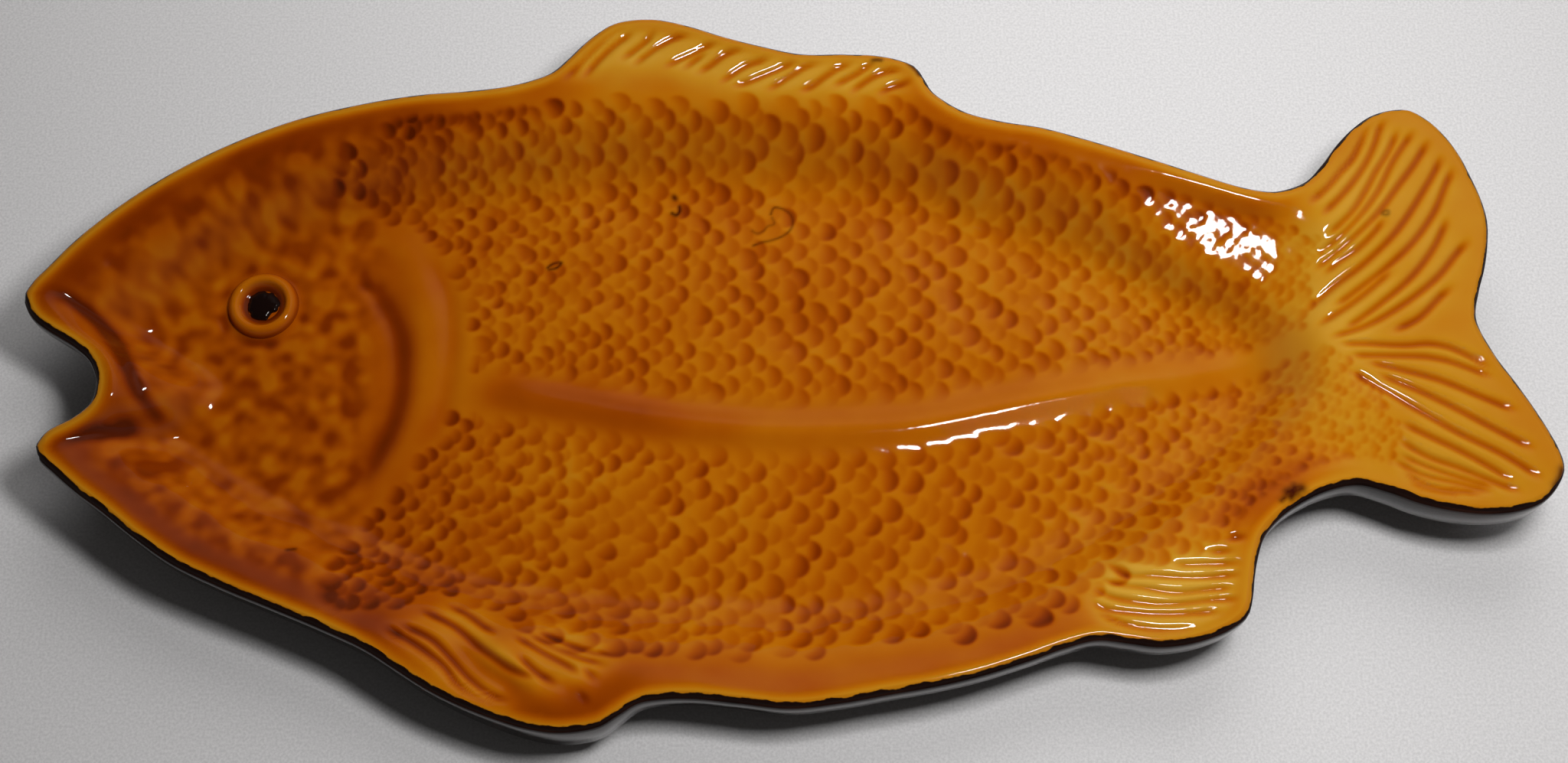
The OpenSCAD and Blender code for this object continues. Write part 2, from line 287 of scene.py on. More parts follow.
root_x, root_y = map_x - ROOT[0], map_y - ROOT[1]
root_along = ROOT_WAY[0] * root_x + ROOT_WAY[1] * root_y
root_across = ROOT_WAY[0] * root_y - ROOT_WAY[1] * root_x
tail_root = np.exp(-(root_along / ROOT_LONG) ** 4 - (root_across / ROOT_WIDE) ** 4)
gentle = ROOT_HEIGHT + ROOT_SLOPE[0] * root_x + ROOT_CURVE[0] * root_x**2
gentle += ROOT_SLOPE[1] * root_y + ROOT_CURVE[1] * root_y**2
climb = blur(gentle * tail_root + base_map * (1 - tail_root), ROOT_BLUR) - base_map
climb *= ease(edge_map, *ROOT_EDGE)
base_map += ROOT_REACH * np.tanh(climb / ROOT_REACH)
# The rest of that climb is in the shading alone, where the slope carries its broken highlight
shading = climb - ROOT_REACH * np.tanh(climb / ROOT_REACH)


# Tools that carve: each changes a map in a small window

# A tool mark reaches this share of its width, and its tapers start this share before its ends
MARK_REACH = 1.6
MARK_LEAD = 0.1


def window(x, y, reach):
    """The part of the maps within reach of a place."""
    i = int((x - map_low[0]) / MAP_CELL)
    j = int((y - map_low[1]) / MAP_CELL)
    r = math.ceil(reach / MAP_CELL)
    return slice(max(0, i - r), max(0, i + r + 2)), slice(max(0, j - r), max(0, j + r + 2))


def stroke(points, width, start, end):
    """A map of one tool mark: 1 along its middle, falling off over its width, tapered at both ends."""
    mark = np.zeros_like(map_x)
    path = flow(points, MAP_CELL)
    run = np.concatenate([[0], np.cumsum(np.hypot(*np.diff(path, axis=0).T))])
    strength = ease(run, -MARK_LEAD * start, start) * ease(run[-1] - run, -MARK_LEAD * end, end)
    for (x, y), s in zip(path, strength):
        view = window(x, y, width * MARK_REACH)
        far = np.hypot(map_x[view] - x, map_y[view] - y) / (width / 2)
        np.maximum(mark[view], s * np.exp(-far**2), out=mark[view])
    return mark


def draw(target, marks):
    """Adds a table of tool marks to a map: each has a height, a width, a path and its two tapers."""
    for height, width, path, tapers in marks:
        target += height * stroke(path, width, *tapers)


# Fin rays: grooves drawn root to tip
DORSAL_RAYS = [
    [(-79, 105), (-75.4, 109), (-70.8, 114.8), (-65.8, 120.6), (-60.8, 125.6), (-55.4, 128.5)],
    [(-72, 106), (-65.8, 114.3), (-60.8, 119.8), (-53.3, 126)],
    [(-59.2, 113), (-53.3, 118), (-49.2, 121.8), (-45.8, 126)],
    [(-54.6, 111), (-50, 115.2), (-45, 119.3), (-38.3, 123), (-32.5, 124.8)],
    [(-43.3, 110.6), (-38.3, 113.5), (-32.5, 116.4), (-26.7, 119.8), (-21.7, 121.8)],
    [(-37, 109.3), (-31.7, 113.8), (-26.5, 118)],
    [(-31.7, 108), (-26.7, 111.4), (-20.8, 116), (-15, 118.5), (-10.8, 119.3)],
    [(-23.3, 104.3), (-18.3, 108), (-13.3, 111.4), (-7.5, 113.5), (-3.3, 115.2)],
    [(-19.2, 103.5), (-13.3, 104.8), (-7.5, 107.3), (-1.7, 109.8), (4.2, 112.7), (7.5, 113.9)],
    [(-6.7, 101.4), (-1.7, 104.3), (3.3, 107.7), (8.3, 111), (15, 113.5)],
    [(5, 101), (10, 103), (15.8, 107.3), (20.8, 110.6), (26.7, 113)],
    [(17, 102.3), (21.7, 105.2), (26.7, 108), (30.8, 111), (35, 113)],
    [(23.3, 99.8), (28.3, 103.9), (33.3, 107.3), (39.2, 109.3), (45, 110.6)],
    [(33.3, 99.3), (38.3, 102.3), (43.3, 103.9), (47.5, 105.6)],
]
UPPER_TAIL_RAYS = [
    [(183.5, 54), (190.6, 60.4), (195.7, 66.2), (200.8, 71.9), (204, 77.7), (206.6, 83.5), (209.2, 86.7)],
    [(187.4, 49.2), (197.6, 59.7), (206, 71.3), (209.2, 77.7), (211.7, 84), (214.6, 88)],
    [(188.7, 41.5), (198.9, 51.4), (204, 59), (208.5, 66.8), (212.4, 72.6), (218, 82.8)],
    [(186, 35.4), (198.3, 46.3), (207.2, 57.2), (215.6, 71.9), (223.3, 82.2)],
    [(183.2, 29), (195, 38.6), (206.6, 49.5), (216.2, 61.7), (220.7, 67.4), (228, 78.3)],
    [(186, 27), (192, 32.2), (199.6, 37.3), (206, 43.7), (209.8, 48.9)],
    [(181, 15.5), (190.6, 23.8), (199.6, 30.3), (212.4, 42.4), (222.6, 56.5), (229.7, 68), (231.6, 72)],
    [(188.3, 14.9), (198.9, 22.5), (209.2, 30.3), (218, 38.6), (226.5, 50), (232.9, 62.9), (235.4, 67.4)],
    [(182.6, 8.8), (193.8, 15.5), (204.7, 23.8), (210.5, 29)],
    [(190.6, 5.9), (203.4, 14.9), (215.6, 25), (224.6, 36), (231, 47.6)],
    [(186, 3.7), (198.9, 7.8), (212.4, 15.5), (224.6, 25), (234.2, 36), (237.4, 39.2)],
    [(207, 5), (216.2, 9.7), (225.8, 18.7), (229.7, 21.9)],
]
LOWER_TAIL_RAYS = [
    [(188, 1.5), (197.6, 1), (211, 0), (220, 0.3), (225, -0.8), (231.5, -4), (239.2, -9.2)],
    [(191.2, -3), (205.9, -3.7), (220, -4.7), (232.8, -9.2), (239.2, -12.4)],
    [(196.9, -5.3), (209.7, -9.2), (220.6, -12.7), (233.5, -18.8), (245.6, -24.6)],
    [(200, -10), (211.7, -15.6), (223.2, -22), (233.5, -28.4), (245, -35.4), (249.5, -38)],
    [(191.8, -8.5), (204, -17.5), (214.9, -25.2), (224.5, -31.6), (239.2, -39.9), (250.8, -48.3)],
    [(205.9, -27.8), (216.2, -33.5), (225.8, -38.7), (237.3, -46.3), (241.8, -49.6)],
    [(204.3, -33.5), (213.6, -39.9), (224.5, -44.4), (237.3, -50.2), (243.7, -52.8)],
    [(204, -38.7), (213.6, -43.5), (224.5, -47.6), (236, -51.5)],
    [(202, -40.6), (212.3, -46.3), (223.8, -49.6), (234.7, -52.8)],
    [(204.6, -44.4), (213.6, -49.9), (225.8, -52.4), (231.5, -53.4)],
    [(205.3, -48.3), (214.9, -51.8), (226.4, -53.1)],
]
ANAL_RAYS = [
    [(143.9, -68.3), (148.9, -67.2), (153.9, -66.9)],
    [(137.2, -71.7), (143.3, -71.9), (148.9, -71.4)],
    [(126.4, -75.3), (131, -76), (137.8, -76), (150, -76)],
    [(106.4, -72.8), (108.9, -75.6), (111.7, -78.3), (121.7, -79.7), (133.9, -80.6), (150, -79.7)],
    [(103.6, -79.4), (107.2, -81.4), (117.2, -83.6), (128.3, -85.6), (139.4, -84.7), (147.8, -84.2)],
    [(101.7, -83.3), (105.6, -85.8), (115.6, -88.6), (126.7, -89.4), (138.9, -88.3), (148.9, -87.8)],
    [(100, -87.8), (103.9, -90.3), (113.9, -92.2), (127.2, -92.8), (143.3, -91.9)],
    [(101.7, -91.4), (110, -95.8), (120.6, -98.3), (135, -98.3)],
]
PECTORAL_RAYS = [
    [(-110.3, -86.6), (-103, -90.4), (-95.9, -95.9), (-91.4, -98.5)],
    [(-118, -89.5), (-106.2, -95.6), (-95.9, -104.2), (-87.6, -110), (-78, -114.2)],
    [(-124, -95.3), (-112, -101.3), (-106.2, -107), (-99.7, -113.8), (-91.4, -119.6), (-86.3, -121.5)],
    [(-128, -96.5), (-115, -104.2), (-108, -109.7), (-102.3, -116.7), (-94, -122), (-88.8, -123.8)],
    [(-85.6, -104.9), (-77.9, -111.9), (-70.9, -116)],
    [(-87.6, -97.8), (-77.3, -104.2), (-68.3, -109.4), (-63.8, -112.6)],
    [(-83.7, -96.5), (-75.4, -101.7), (-65, -106.2), (-55.5, -108.7)],
    [(-81, -95.5), (-72.2, -100), (-62, -104), (-54, -105.8)],
    [(-65, -109.4), (-61.3, -111.9), (-58.7, -114.5)],
    [(-65, -117.7), (-62.6, -120.3), (-61.3, -122.2)],
]
# Width and depth of the grooves of each fin
FIN_GROOVES = [
    (DORSAL_RAYS, 3.0, 1.0),
    (UPPER_TAIL_RAYS, 2.8, 1.0),
    (LOWER_TAIL_RAYS, 2.6, 0.9),
    (ANAL_RAYS, 2.6, 1.0),
    (PECTORAL_RAYS, 2.8, 1.1),
]
RAY_TAPER = 6
# How much of a groove is pressed into the clay, and how much is cut finely for the glaze to fill
GROOVE_PRESSED, GROOVE_CUT = 0.95, 0.6
GROOVE_BLUR = 0.5

# The pectoral fin: a broad trough and the two rounded folds beside it
PECTORAL_FIN = [(-120, -90), (-98, -102), (-62, -115)]
PECTORAL_TROUGH = [(-107, -101), (-101.7, -105), (-96.5, -109.5), (-88, -114.5), (-81, -118.5)]
PECTORAL_FOLD = [(-96, -103), (-86, -110), (-76, -118), (-66, -121)]
PECTORAL_TIP = [(-72, -110), (-64, -114), (-61, -119)]

# Gill cover: a dark crease, the ridge behind it and a second soft crease
GILL_CREASE = [(-154, 40), (-149, 35), (-140, 25), (-134, 13.5), (-132, -1), (-133.5, -18), (-139.4, -33),
               (-146.5, -46)]
GILL_RIDGE = [(-146, 54), (-137, 48), (-128.5, 29), (-125, 0), (-126.5, -15), (-131, -30), (-138, -41),
              (-147.5, -52), (-153, -62)]
BEHIND_GILL = [(-124, 44), (-117, 26), (-115, 8), (-116.5, -12), (-120, -27)]

# The raised lateral line, with a soft hollow along each side
LATERAL_LINE = [(-104, -8), (-82, -11), (-60, -15.5), (-30, -20), (0, -21.8), (20, -21.3), (50, -19.3),
                (70, -14.5), (100, -8.5), (130, -3), (152, -0.3), (172, 4), (188, 6.5)]

# Mouth: one rolled lip all round the notch, with a deep crease inside it
LIP_ROLL = [(-252, 15.5), (-244, 11.5), (-237, 6.5), (-230, -2), (-226.5, -10), (-227, -18), (-232, -23.5),
            (-240, -27), (-247, -30)]
UPPER_CREASE = [(-251, 20.5), (-243, 17.5), (-236, 12.5), (-229.5, 5.5), (-223.5, -3), (-219, -11),
                (-215.5, -18)]
LOWER_CREASE = [(-241.5, -36.5), (-232, -31), (-223, -27.5), (-217.5, -22)]
MOUTH_CORNER = [(-217, -16), (-213.5, -19), (-211, -22)]

# Broad forms of the surface, which the clay and the glaze over it share
BROAD_FORMS = [
    (-2.2, 10, PECTORAL_TROUGH, (8, 8)),
    (1.6, 11, PECTORAL_FOLD, (8, 8)),
    (1.2, 9, PECTORAL_TIP, (8, 8)),
    (-1.0, 11, GILL_CREASE, (14, 14)),
    (0.8, 12, GILL_RIDGE, (16, 16)),
    (-0.6, 8, BEHIND_GILL, (14, 14)),
    (-0.5, 22, LATERAL_LINE, (26, 60)),
    (1.25, 11, LATERAL_LINE, (26, 50)),
    (1.0, 9, LIP_ROLL, (8, 8)),
    (-1.2, 6, UPPER_CREASE, (12, 8)),
    (-1.2, 6, LOWER_CREASE, (12, 8)),
]
# Fine cuts in the clay, which the glaze half fills
FINE_CUTS = [
    (-0.45, 8, GILL_CREASE, (24, 24)),
    (-0.8, 4.5, UPPER_CREASE, (16, 6)),
    (-0.8, 4.5, LOWER_CREASE, (16, 6)),
    (-0.7, 6, MOUTH_CORNER, (3, 3)),
]

fins = np.zeros_like(map_x)
for rays, ray_width, ray_depth in FIN_GROOVES:
    for ray in rays:
        np.maximum(fins, ray_depth * stroke(ray, ray_width, RAY_TAPER, RAY_TAPER), out=fins)
forms = -GROOVE_PRESSED * blur(fins, GROOVE_BLUR)
carving = -GROOVE_CUT * fins
draw(forms, BROAD_FORMS)
draw(carving, FINE_CUTS)

line_path = flow(LATERAL_LINE, 1.0)


def line_at(x):
    """The lateral line's y at a given x."""
    return np.interp(x, line_path[:, 0], line_path[:, 1])


# Scales

# Width of the scales along the platter, the limits of the field and its distance from the lateral line
SCALE_WIDTHS = [(-165, 6.2), (-120, 6.4), (-60, 7.8), (0, 9.2), (60, 9.2), (100, 8.2), (130, 6.8), (160, 5.6),
                (185, 4.6), (205, 4)]
DORSAL_LIMIT = [(-168, 70), (-150, 80), (-140, 90), (-110, 94), (-80, 97), (40, 97), (60, 90), (80, 82),
                (100, 75), (120, 65), (140, 57), (160, 52), (172, 48), (184, 42), (210, 30)]
BELLY_LIMIT = [(-168, -70), (-150, -92), (-125, -88), (-108, -80), (-92, -90), (-70, -100), (-40, -106),
               (0, -103), (60, -98), (80, -94), (98, -85), (120, -76), (140, -69), (155, -62), (168, -52),
               (182, -49), (196, -46), (210, -41)]
GILL_LIMIT = [(-100, -152), (-62, -146), (-48, -136), (-30, -122), (-12, -112), (8, -108), (28, -112),
              (44, -122), (56, -138), (66, -158), (92, -170)]
LINE_MARGIN = [(80, 6.5), (140, 4.0), (180, 2.5)]
TAIL_LIMIT = [(-50, 184), (-47, 195), (-41, 203), (-27, 205), (-17, 200), (-7, 192), (2.5, 184), (12, 180),
              (26, 181), (39, 187)]
FIRST_COLUMN, LAST_COLUMN = -168.0, 206
COLUMN_PITCH = 0.54
ROWS_EACH_SIDE = 30
# Length of a scale over its width, and its lean: above the line, below it and behind the pectoral fin
ABOVE_LINE = (1.2, 0.0)
BELOW_LINE = (1.2, -0.3)
BY_PECTORAL = (1.55, -0.5)
# Towards the head the scales lie more loosely, and from the gill back they keep clear of the line
LOOSE_UNTIL, LOOSENESS = -70, 1.5
LINE_FROM = -106
LINE_CLEAR = (0.5, 2.6)
# Scales narrower than this are pressed less deep
FULL_DEPTH_WIDTH = 7
# How far inside the outline the scales fade in, and where those behind the pectoral fin lie
SCALE_EDGE = (7, 11)
PECTORAL_X, PECTORAL_Y = (-112, -45), -42
# The spread of their sizes, places, lengths, depths and leans
SIZES, LENGTHS, DEPTHS = (0.95, 1.25), (0.9, 1.15), (0.55, 1.3)
ASTRAY, LEANING = 0.12, 0.25
# Shares of a scale over which its floor sinks, and over which its wall rises
SINKING, RISING = (-0.9, 0.8), (0.8, 1.0)


def scale_places():
    """Middles and widths of the scales, in columns from the head to the tail, each set between two others."""
    places = []
    column, x = 0, FIRST_COLUMN
    while x < LAST_COLUMN:
        width = table_at(SCALE_WIDTHS, x)
        for side in (-1, 1):
            for row in range(ROWS_EACH_SIDE):
                rows_out = row + 0.5 + 0.5 * (column % 2)
                y = line_at(x) + side * (table_at(LINE_MARGIN, x) + width * rows_out)
                across = table_at(BELLY_LIMIT, x) < y < table_at(DORSAL_LIMIT, x)
                if across and table_at(GILL_LIMIT, y) < x < table_at(TAIL_LIMIT, y):
                    places.append((x, y, width))
        x += COLUMN_PITCH * width
        column += 1
    return places


def press_scale(scales, x, y, width, length, depth, angle):
    """Cuts one scooped scale, which runs deeper towards the tail and ends in a steep round wall."""
    view = window(x, y, length)
    c, s = math.cos(angle), math.sin(angle)
    dx, dy = map_x[view] - x, map_y[view] - y
    u, v = (dx * c + dy * s) / (length / 2), (dy * c - dx * s) / (width / 2)
    far = np.sqrt(u**2 + v**2)
    scoop = -depth * ease(u, *SINKING) * (1 - ease(far, *RISING))
    np.minimum(scales[view], scoop, out=scales[view])


def pressed_scales():
    """A map of all scales, pressed from the tail to the head, none quite like its neighbours."""
    scales = np.zeros_like(map_x)
    for x, y, width in reversed(scale_places()):
        loose = LOOSENESS if x < LOOSE_UNTIL else 1.0
        size = width * rng.uniform(*SIZES)
        x += width * loose * rng.uniform(-ASTRAY, ASTRAY)
        y += width * loose * rng.uniform(-ASTRAY, ASTRAY)
        stretch, lean = ABOVE_LINE if y > line_at(x) else BELOW_LINE
        if y < PECTORAL_Y and PECTORAL_X[0] < x < PECTORAL_X[1]:
            stretch, lean = BY_PECTORAL
        length = size * stretch * rng.uniform(*LENGTHS)
        depth = rng.uniform(*DEPTHS) * min(1, width / FULL_DEPTH_WIDTH)
        press_scale(scales, x, y, size, length, depth, lean + rng.uniform(-LEANING, LEANING) * loose)
    margin = table_at(LINE_MARGIN, map_x)
    off_line = ease(np.abs(map_y - line_at(map_x)), LINE_CLEAR[0] * margin, LINE_CLEAR[1] * margin)
    return scales * np.where(map_x > LINE_FROM, off_line, 1) * ease(edge_map, *SCALE_EDGE)


# Head: soft blotchy dents, whose sizes are the radii of blurs
FINE_DENTS, BROAD_DENTS, DENT_FIELD = 1.6, 2.8, 6.0
FINE_SHARE, FIELD_SHARE = 0.7, 0.8
DENT_DEPTH, DENT_LIMITS = 0.24, (-1.9, 1.6)
# Where they fade in from the outline, out towards the gill cover and in from the mouth
DENT_EDGE, DENT_END, DENT_START = (7, 16), (-152, -136), (-246, -226)


def head_dents():
    """A map of soft blotchy dents all over the head: fine ones on broad ones."""
    fine = blur(rng.standard_normal(map_x.shape), FINE_DENTS)
    broad = blur(rng.standard_normal(map_x.shape), BROAD_DENTS)
    speckle = FINE_SHARE * fine / fine.std() + broad / broad.std()
    speckle -= FIELD_SHARE * blur(speckle, DENT_FIELD)
    speckle /= speckle.std()
    head = ease(edge_map, *DENT_EDGE) * (1 - ease(map_x, *DENT_END)) * ease(map_x, *DENT_START)
    return DENT_DEPTH * np.clip(speckle, *DENT_LIMITS) * head


carving += pressed_scales()
carving += head_dents()

# Eye: a shallow moat round the ring, and no carving under it
EYE = np.array(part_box("eye_ring")[0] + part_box("eye_ring")[1])[:2] / 2 / MM
EYE_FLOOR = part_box("eye_ring")[0].z / MM
MOAT_DEPTH, MOAT_RADIUS, MOAT_WIDTH = 0.5, 14.5, 2.5
EYE_CLEAR = (11, 15)
eye_far = np.hypot(map_x - EYE[0], map_y - EYE[1])
forms -= MOAT_DEPTH * np.exp(-((eye_far - MOAT_RADIUS) / MOAT_WIDTH) ** 2)
carving *= ease(eye_far, *EYE_CLEAR)

# Low unevenness all over, as slip casting leaves it
CAST_UNEVEN, UNEVEN_SPREAD = 0.10, 6.0
rough = blur(rng.standard_normal(map_x.shape), UNEVEN_SPREAD)
forms += CAST_UNEVEN * rough / rough.std()

# The glaze fills most of the carving, a little less at the tail's root, and the relief dies out at the lip
GLAZE_SHOWS, ROOT_SHOWS = 0.34, 0.2
GLAZE_BLUR = 0.9
LIP_FADE = (2.5, 7)
kept = ease(edge_map, *LIP_FADE)
relief = (forms + GLAZE_SHOWS * (1 + ROOT_SHOWS * tail_root) * blur(carving, GLAZE_BLUR)) * kept
top_map = base_map + relief
slope_x, slope_y = np.gradient(top_map + shading, MAP_CELL)
# The foot of the tail root's climb is shaded a little steeper, so that no second highlight runs along it
ROOT_FOOT = [(84, 50), (102, 42), (119, 36), (131, 30), (145, 22), (156, 16)]
STEEPER = 0.13
draw(slope_x, [(STEEPER, 20, ROOT_FOOT, (12, 12))])


# How the glaze lies, and the painted light on its slopes

# Where it has run together: on the pectoral fin, along the lateral line and in the crease of the gill cover
POOLS = [
    (0.31, 44, PECTORAL_FIN, (10, 10)),
    (0.25, 16, LATERAL_LINE[:5], (10, 60)),
    (0.08, 14, LATERAL_LINE, (60, 40)),
    (0.1, 10, GILL_CREASE, (14, 14)),
]
# Its depth on plain ground, and what carving, bends and the parts of the platter add to that. The head is
# made darker, and slopes that rise towards the back are made a little lighter, which is painted light
PLAIN_DEPTH = 0.2
IN_CARVING, IN_BENDS, PAINTED_LIGHT_ON_SLOPES = 0.5, 0.3, -0.03
ON_BORDER, IN_WELL, IN_REAR_WELL, DARKER_HEAD, ON_TAIL = 0.37, -0.15, -0.05, 0.23, 0.09
# Where those parts fade, along the platter
HEAD_END, REAR_WELL = (-150, -90), (40, 120)
BORDER_END, WELL_END, TAIL_START = (160, 200), (165, 215), (175, 205)
# Where they fade in from the outline
BORDER_EDGE, HEAD_EDGE, WELL_EDGE = (2, 6), (2, 8), (9, 22)
# Radii over which the glaze levels itself, and how much of a wide hollow it fills
WIDE_LEVEL, NARROW_LEVEL, FORM_LEVEL, FIN_SPREAD = 3.0, 0.35, 2.5, 6.0
WIDE_SHARE = 0.7
# How much of their light edge the ridges between the scales keep
RIDGE_SHARE = 0.35
STEEPEST = 0.6


def pooled_glaze_and_painted_light():
    """A map of how thick the glaze lies, from 0 on sharp ridges to 1 where it has run together, with painted
    light that makes slopes rising towards the back a little lighter, and the head made darker.
    """
    border = ease(edge_map, *BORDER_EDGE) * (1 - ease(map_x, *BORDER_END))
    finned = np.clip(4 * blur(fins, FIN_SPREAD), 0, 1)
    well = ease(edge_map, *WELL_EDGE) * (1 - ease(map_x, *WELL_END))
    on_head = 1 - ease(map_x, *HEAD_END)
    carved = (WIDE_SHARE * blur(carving, WIDE_LEVEL) - blur(carving, NARROW_LEVEL)) * kept
    carved = np.where(carved > 0, carved, (RIDGE_SHARE + (1 - RIDGE_SHARE) * on_head) * carved)
    bent = (blur(forms, FORM_LEVEL) - forms) * kept
    # Painted light: slopes that rise towards the back are made a little lighter
    painted_light_slope = np.clip(np.gradient(base_map, MAP_CELL, axis=1), 0, STEEPEST)
    pool = PLAIN_DEPTH + IN_CARVING * carved + IN_BENDS * bent + PAINTED_LIGHT_ON_SLOPES * painted_light_slope
    pool += ON_BORDER * border * (1 - finned) + IN_WELL * well * (1 - 0.5 * finned)
    # The head is made darker, fading out behind the gill cover
    pool += DARKER_HEAD * on_head * ease(edge_map, *HEAD_EDGE) + ON_TAIL * ease(map_x, *TAIL_START)
    pool += IN_REAR_WELL * well * ease(map_x, *REAR_WELL)
    draw(pool, POOLS)
    return np.clip(pool, 0, 1)


# Firing marks of dark iron, each with its width, strength and path
IRON_MARKS = [
    (1.0, 0.75, [(-4.3, 60.2), (-3, 63.2), (-0.1, 62.8), (2.9, 60.5), (3.8, 57), (2.2, 53.5), (-0.6, 51.5),
                (-4.2, 50.1), (-7.9, 49.2), (-10.7, 48)]),
    (1.0, 0.6, [(-11.1, 54.4), (-9, 53), (-6.9, 53.8), (-5.1, 55.9), (-3, 56.7), (-3.9, 59.7)]),
    (2.0, 1.0, [(-39.3, 67.7), (-38.4, 66.4)]),
    (1.5, 1.0, [(-37.1, 64), (-36.9, 62), (-38.1, 60.2), (-40, 61.2)]),
    (1.1, 1.0, [(-83.8, 39.2), (-81.4, 41.1), (-78.7, 41.4), (-80, 39.6), (-83.3, 38.7)]),
    (3.6, 1.0, [(166.5, -52), (169, -51), (172, -50.5)]),
    (3.2, 1.0, [(167.5, -54), (169, -52), (169.5, -49.5)]),
    (2.2, 0.9, [(164.5, -55), (166.5, -53)]),
    (4.4, 1.0, [(167.6, -52.6), (170, -51.6)]),
    (1.4, 0.9, [(-163.5, -69.4), (-160.5, -68.6)]),
    (1.6, 0.9, [(32, 113), (34, 113.4), (36, 113.2)]),
    (2.0, 0.9, [(45.5, 112), (47.5, 110), (49.5, 107)]),
    (1.3, 0.6, [(209, 50.8), (210.6, 50.6), (210.4, 49.2), (208.8, 49.4), (209, 50.8)]),
    (3.4, 0.9, [(257.5, -45), (256.5, -48), (254.5, -51)]),
]
SPECKS = 70
SPECK_FIELD = ((-240, -100), (240, 100))
SPECK_WIDTH, SPECK_LENGTH, SPECK_STRENGTHS = 0.9, 0.4, (0.3, 0.9)
MARK_TAPER, SPECK_TAPER = 0.5, 0.1
# They end where the dark coat takes over
MARK_EDGE = (0.2, 1.0)


def iron_stains():
    """A map of the firing marks and of fine specks strewn over the whole platter."""
    iron = np.zeros_like(map_x)
    for width, strength, path in IRON_MARKS:
        np.maximum(iron, strength * stroke(path, width, MARK_TAPER, MARK_TAPER), out=iron)
    for x, y in rng.uniform(*SPECK_FIELD, (SPECKS, 2)):
        strength = rng.uniform(*SPECK_STRENGTHS)
        speck = stroke([(x, y), (x + SPECK_LENGTH, y)], SPECK_WIDTH, SPECK_TAPER, SPECK_TAPER)
        np.maximum(iron, strength * speck, out=iron)
    return iron * ease(edge_map, *MARK_EDGE)


pool_and_painted_light_map = pooled_glaze_and_painted_light()
iron_map = iron_stains()


# Sheets

# Shares of a cell: how near its crest a sheet is trimmed, and how near two points of its border are one
TRIM_SHARE = 0.35
JOIN_SHARE = 0.3


def flat_sheet(cell):
    """A flat grid trimmed to the platter, its border drawn out to the crest of the lip."""
    bm = bmesh.new()
    counts = [math.ceil(map_size[k] / cell) for k in (0, 1)]
    bmesh.ops.create_grid(bm, x_segments=counts[0], y_segments=counts[1], size=0.5)
    for v in bm.verts:
        v.co.x = map_low[0] + (v.co.x + 0.5) * counts[0] * cell
        v.co.y = map_low[1] + (v.co.y + 0.5) * counts[1] * cell
    _, depth = nearest_rim(plan(bm.verts))
    out = [v for v, d in zip(bm.verts, depth) if d < LIP_ROUND + TRIM_SHARE * cell]
    bmesh.ops.delete(bm, geom=out, context="VERTS")
    loose = [v for v in bm.verts if not v.link_faces]
    bmesh.ops.delete(bm, geom=loose, context="VERTS")
    place_inside(border_verts(bm), LIP_ROUND)
    bmesh.ops.remove_doubles(bm, verts=border_verts(bm), dist=JOIN_SHARE * cell)
    return bm


def border_verts(bm):
    """The vertices along a sheet's open edge."""
    return [v for v in bm.verts if v.is_boundary]


def place_inside(verts, depth):
    """Moves vertices square to the rim until they lie this far inside the outline."""
    found = rim_beside(verts)
    spots = rim[found, :2] + inward[found] * depth
    for v, spot in zip(verts, spots):
        v.co.x, v.co.y = spot


def extrude_border(bm, step, depth):
    """Adds one strip outside the sheet's border, numbered by its step."""
    edges = [e for e in bm.edges if e.is_boundary]
    made = bmesh.ops.extrude_edge_only(bm, edges=edges)["geom"]
    verts = [g for g in made if isinstance(g, bmesh.types.BMVert)]
    layer = bm.verts.layers.float["step"]
    for v in verts:
        v[layer] = step
    place_inside(verts, depth)
    return verts


def finished(bm, name, material):
    """An object in metres from a finished bmesh in millimetres."""
    bmesh.ops.scale(bm, vec=(MM,) * 3, verts=bm.verts)
    mesh = bpy.data.meshes.new(name)
    bm.to_mesh(mesh)
    bm.free()
    mesh.materials.append(material)
    mesh.shade_smooth()
    piece = bpy.data.objects.new(name, mesh)
    bpy.context.scene.collection.objects.link(piece)
    return piece


# Materials

def linear(code):
    """Linear red, green, blue and alpha of an sRGB hex colour."""
    parts = [int(code[k:k + 2], 16) / 255 for k in (1, 3, 5)]
    return [p / 12.92 if p <= 0.04045 else ((p + 0.055) / 1.055) ** 2.4 for p in parts] + [1.0]


def add(tree, kind, values=(), links=(), stops=(), **settings):
    """Adds a node with its settings, its ramp's stops, its sockets' values and its links."""
    made = tree.nodes.new("ShaderNode" + kind)
    for name, value in settings.items():
        setattr(made, name, value)
    for number, (spot, code) in enumerate(stops):
        ramp = made.color_ramp.elements
        stop = ramp[number] if number < 2 else ramp.new(spot)
        stop.position, stop.color = spot, linear(code)
    for socket, value in dict(values).items():
        made.inputs[socket].default_value = value
    for socket, source in dict(links).items():
        tree.links.new(source, made.inputs[socket])
    return made


def new_material(name):
    """An empty material and its node tree."""
    made = bpy.data.materials.new(name)
    made.use_nodes = True
    made.node_tree.nodes.clear()
    return made, made.node_tree


